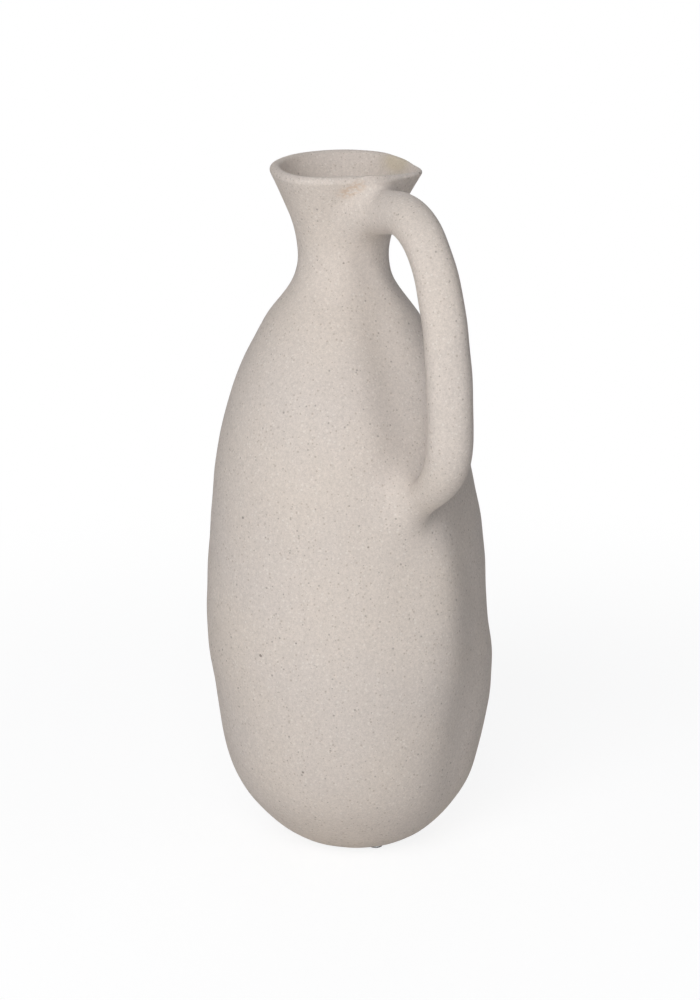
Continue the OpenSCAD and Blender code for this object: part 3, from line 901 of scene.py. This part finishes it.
def off_handle(points, stub, way):
    """Distance outside the handle, whose root runs on straight beyond its stub's share."""
    if way < 0:
        keep = (PATH_SHARE >= stub) & (PATH_SHARE < UPPER_PART)
    else:
        keep = (PATH_SHARE <= stub) & (PATH_SHARE > LOWER_PART)
    path, heading, share = PATH[keep], PATH_HEADING[keep], PATH_SHARE[keep]
    away = points[..., None, :] - path
    near = (away ** 2).sum(axis=-1).argmin(axis=-1)
    offset = points - path[near]
    along = (offset * heading[near]).sum(axis=-1)
    aside = np.sqrt(np.maximum((offset ** 2).sum(axis=-1) - along ** 2, 0.0))
    return aside - handle_radius(share[near])


def root_piece(name, stub, way, widths):
    """The clay worked round a root: a soft join of the wall and the handle, of these widths round it."""
    turn = np.arange(ROOT_TURNS) * 360.0 / ROOT_TURNS
    width = around(turn, widths)
    centre, heading = along_path(PATH, stub), unit(along_path(PATH_HEADING, stub))
    radius = handle_radius(stub)
    out, across = np.array((-heading[2], 0.0, heading[0])), np.array((0.0, 1.0, 0.0))
    ray = np.cos(np.radians(turn))[:, None] * out + np.sin(np.radians(turn))[:, None] * across
    side = centre + radius * ray
    toward = way * heading
    foot = land(side, toward)
    start = land(side, toward, ROOT_MARGIN * width)
    edge = land(centre + (radius + ROOT_MARGIN * width)[:, None] * ray, toward)

    def join(points):
        wall, grip = off_wall(points), off_handle(points, stub, way)
        share = np.maximum(width - np.abs(wall - grip), 0.0) / width
        return np.minimum(wall, grip) - share ** 2 * width / 4

    def climb(points, step=0.02):
        slopes = [(join(points + axis) - join(points - axis)) / (2 * step) for axis in np.eye(3) * step]
        return np.stack(slopes, axis=-1)

    u = np.linspace(0.0, 1.0, ROOT_STEPS + 1)[:, None, None]
    grid = (1 - u) ** 2 * start + 2 * u * (1 - u) * foot + u ** 2 * edge
    for _ in range(ROOT_ROUNDS):
        slope = climb(grid)
        grid = grid - (join(grid) / (slope ** 2).sum(axis=-1))[..., None] * slope
    normals = unit(climb(grid))
    grid[0] -= ROOT_SINK * normals[0]
    grid[-1] -= ROOT_SINK * normals[-1]
    under = np.stack((
        grid[-1] - ROOT_DEPTH * normals[-1],
        foot + ROOT_DEPTH * (toward - ray),
        grid[0] - ROOT_DEPTH * normals[0],
    ))
    grid = np.concatenate((grid, under))
    normals = np.concatenate((normals, np.zeros_like(under)))
    smooth = [1] * (ROOT_STEPS + 1) + [0] * len(under)
    if way > 0:
        grid, normals = grid[:, ::-1], normals[:, ::-1]
    return grid_piece(name, grid, normals, smooth, CLAY, closed=True)


upper_root = root_piece("upper_root_clay", TOP_STUB, -1, UPPER_ROOT_WIDTHS)
lower_root = root_piece("lower_root_clay", LOW_STUB, 1, LOWER_ROOT_WIDTHS)


def bumper_tree():
    """Bumper feet round a ring: each narrows in a round to the flat that stands on the table."""
    number = "NodeSocketFloat"
    tree, root, given = new_tree("bumper_feet", (
        ("Geometry", "NodeSocketGeometry"), ("Count", "NodeSocketInt"), ("Ring radius", number),
        ("Ring middle", "NodeSocketVector"), ("Turn", "NodeSocketVector"), ("Pad radius", number),
        ("Pad height", number), ("Flat radius", number), ("Side height", number),
        ("Rubber", "NodeSocketMaterial")))
    radius, height = given.out("Pad radius"), given.out("Pad height")
    flat, side = given.out("Flat radius"), given.out("Side height")
    pad = root.node("GeometryNodeMeshCylinder", {"fill_type": "TRIANGLE_FAN"}, {
        "Vertices": 48, "Side Segments": 20, "Fill Segments": 3, "Radius": 1.0, "Depth": 1.0})
    top = pad.out("Top")
    at = root.node("ShaderNodeSeparateXYZ", None, {0: root.node("GeometryNodeInputPosition")}, "X")
    level = at.out("Z") + 0.5
    edge_turn = (level / PAD_EDGE_SHARE).joined("MINIMUM", 1.0) * (math.pi / 2)
    straight = ((level - PAD_EDGE_SHARE) / (1.0 - PAD_EDGE_SHARE)).joined("MAXIMUM", 0.0)
    sine = root.node("ShaderNodeMath", {"operation": "SINE"}, {0: edge_turn})
    cosine = root.node("ShaderNodeMath", {"operation": "COSINE"}, {0: edge_turn})
    wide = flat + (radius - flat) * sine
    low = (height - side) * (1.0 - cosine)
    shaped = root.node("ShaderNodeCombineXYZ", None, {
        "X": at * wide, "Y": at.out("Y") * wide, "Z": low + straight * side})
    pad = root.node("GeometryNodeSetPosition", None, {"Geometry": pad, "Position": shaped})
    pad = root.node("GeometryNodeSetShadeSmooth", None, {"Geometry": pad})
    pad = root.node("GeometryNodeSetShadeSmooth", None, {
        "Geometry": pad, "Selection": top, "Shade Smooth": False})
    ring = root.node("GeometryNodeMeshCircle", None, {
        "Vertices": given.out("Count"), "Radius": given.out("Ring radius")})
    ring = root.node("GeometryNodeTransform", None, {
        "Geometry": ring, "Translation": given.out("Ring middle"), "Rotation": given.out("Turn")})
    feet = root.node("GeometryNodeInstanceOnPoints", None, {"Points": ring, "Instance": pad})
    feet = root.node("GeometryNodeRealizeInstances", None, {"Geometry": feet})
    feet = root.node("GeometryNodeSetMaterial", None, {
        "Geometry": feet, "Material": given.out("Rubber")})
    root.node("NodeGroupOutput", None, {"Geometry": feet})
    return tree


pad_carrier = placed("pad_carrier", bpy.data.meshes.new("pad_carrier"))
bumper_mesh = grown_mesh(pad_carrier, bumper_tree(), {
    "Count": PAD_COUNT, "Ring radius": pad_ring_r * MM,
    "Ring middle": tuple(to_model((*pad_ring_middle, 0.0))), "Turn": (0.0, 0.0, PAD_TURN),
    "Pad radius": PAD_R * MM, "Pad height": PAD_H * MM, "Flat radius": PAD_FLAT_R * MM,
    "Side height": PAD_SIDE_H * MM, "Rubber": RUBBER})
bumper_feet = placed("bumper_feet", bumper_mesh)

for piece, slot, nodes in (
    (clay_base, "stoneware", ("base_slab",)),
    (clay_belly, "stoneware", ("belly_wall",)),
    (clay_shoulder, "stoneware", ("shoulder_wall",)),
    (clay_neck, "stoneware", ("neck_collar",)),
    (clay_lip, "stoneware", ("pouring_lip",)),
    (glaze_lining, "inner_glaze", ("glaze_lining",)),
    (clay_handle, "stoneware", ("handle_grip",)),
    (upper_root, "stoneware", ("handle_top_joint",)),
    (lower_root, "stoneware", ("handle_bottom_joint",)),
    (bumper_feet, "clear_bumper", ("foot_pad_handle", "foot_pad_left", "foot_pad_right")),
):
    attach(piece, "root")
    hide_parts(*nodes)


# Turns and rises on the stage are degrees, and its distances metres. The photograph's camera is turned to
# the right of the front and looks a little down, at a point given in the vessel's own frame.
VIEW_TURN = 60.0
VIEW_RISE = 16.3
VIEW_FAR = 1.88
VIEW_MIDDLE = (0.85, 1.47, 178.8)
SENSOR_H = 36.0
LENS = 132.7
CLIP_END = 100.0
# Soft square lamps: turn from the camera to its right, rise and watts of each
LAMP_FAR = 1.9
LAMP_SIZE = 1.2
LAMPS = {
    "key_lamp": (-15.5, 34.0, 20.0),
    "front_lamp": (-18.0, 4.0, 7.5),
    "crown_lamp": (90.0, 68.0, 1.5),
    "back_lamp": (180.0, 30.0, 5.5),
}
# A white room that lights the jug less than it shows, with a cool tint
ROOM_LIGHT = 0.17
ROOM_TINT = (0.945, 0.985, 1.07, 1.0)
WHITE = (1.0, 1.0, 1.0, 1.0)
# A floor of white paper: half its width, its tint, its shade and glow as the camera sees it, and the
# distances from the jug between which the shadow fades out
FLOOR_HALF = 9.0
FLOOR_TINT = (238, 237, 235)
FLOOR_SHADE = (0.2, 0.2, 0.2, 1.0)
FLOOR_GLOW = 0.86
SHADOW_FADE = (0.25, 0.65)

view_middle = Vector(to_model(VIEW_MIDDLE))


def aim(thing, turn, rise, far):
    """Sets a camera or lamp at a turn, a rise and a distance from the middle of the view, facing it."""
    angle, up = math.radians(turn), math.radians(rise)
    way = Vector((math.sin(angle) * math.cos(up), -math.cos(angle) * math.cos(up), math.sin(up)))
    thing.location = view_middle + far * way
    thing.rotation_euler = way.to_track_quat("Z", "Y").to_euler()


def seen_rays(root):
    """One for rays from the camera, straight or through gloss and clear things, and nought for others."""
    path = root.node("ShaderNodeLightPath", output="Is Camera Ray")
    rays = path + path.out("Is Glossy Ray") + path.out("Is Transmission Ray")
    return rays.joined("MINIMUM", 1.0)


def floor_paper():
    """White paper: the camera sees it lit up to white, so that only the shadow shows."""
    finish, root = new_finish("white_paper")
    paper = root.node("ShaderNodeBsdfDiffuse", None, {"Color": paint(*FLOOR_TINT)})
    shade = root.node("ShaderNodeBsdfDiffuse", None, {"Color": FLOOR_SHADE})
    glow = root.node("ShaderNodeEmission", None, {"Color": WHITE, "Strength": FLOOR_GLOW})
    white = root.node("ShaderNodeEmission", None, {"Color": WHITE, "Strength": 1.0})
    place = root.node("ShaderNodeTexCoord", output="Object")
    away = root.node("ShaderNodeVectorMath", {"operation": "LENGTH"}, {0: place}, "Value")
    near = root.node("ShaderNodeAddShader", None, {0: shade, 1: glow})
    lit = root.node("ShaderNodeMixShader", None, {0: ramped(away, *SHADOW_FADE), 1: near, 2: white})
    shader = root.node("ShaderNodeMixShader", None, {0: seen_rays(root), 1: paper, 2: lit})
    root.node("ShaderNodeOutputMaterial", None, {"Surface": shader})
    return finish


camera_data = bpy.data.cameras.new("camera")
camera_data.sensor_fit = "VERTICAL"
camera_data.sensor_height = SENSOR_H
camera_data.lens = LENS
camera_data.clip_end = CLIP_END
camera = placed("camera", camera_data)
aim(camera, VIEW_TURN, VIEW_RISE, VIEW_FAR)
scene.camera = camera

for lamp_name, (lamp_turn, lamp_rise, watts) in LAMPS.items():
    lamp_data = bpy.data.lights.new(lamp_name, "AREA")
    lamp_data.shape = "SQUARE"
    lamp_data.size = LAMP_SIZE
    lamp_data.energy = watts
    aim(placed(lamp_name, lamp_data), VIEW_TURN + lamp_turn, lamp_rise, LAMP_FAR)

floor_corners = [(x * FLOOR_HALF, y * FLOOR_HALF, 0.0) for x, y in ((-1, -1), (1, -1), (1, 1), (-1, 1))]
floor_mesh = bpy.data.meshes.new("floor")
floor_mesh.from_pydata(floor_corners, [], [(0, 1, 2, 3)])
floor_mesh.materials.append(floor_paper())
floor = placed("floor", floor_mesh)

world = bpy.data.worlds.new("white_room")
world.use_nodes = True
world.node_tree.nodes.clear()
room = Wire(world.node_tree)
room_seen = seen_rays(room)
room_light = room.node("ShaderNodeBackground", None, {
    "Color": blended(room_seen, ROOM_TINT, WHITE),
    "Strength": ROOM_LIGHT + (1.0 - ROOM_LIGHT) * room_seen})
room.node("ShaderNodeOutputWorld", None, {"Surface": room_light})
scene.world = world

scene.view_settings.view_transform = "Standard"
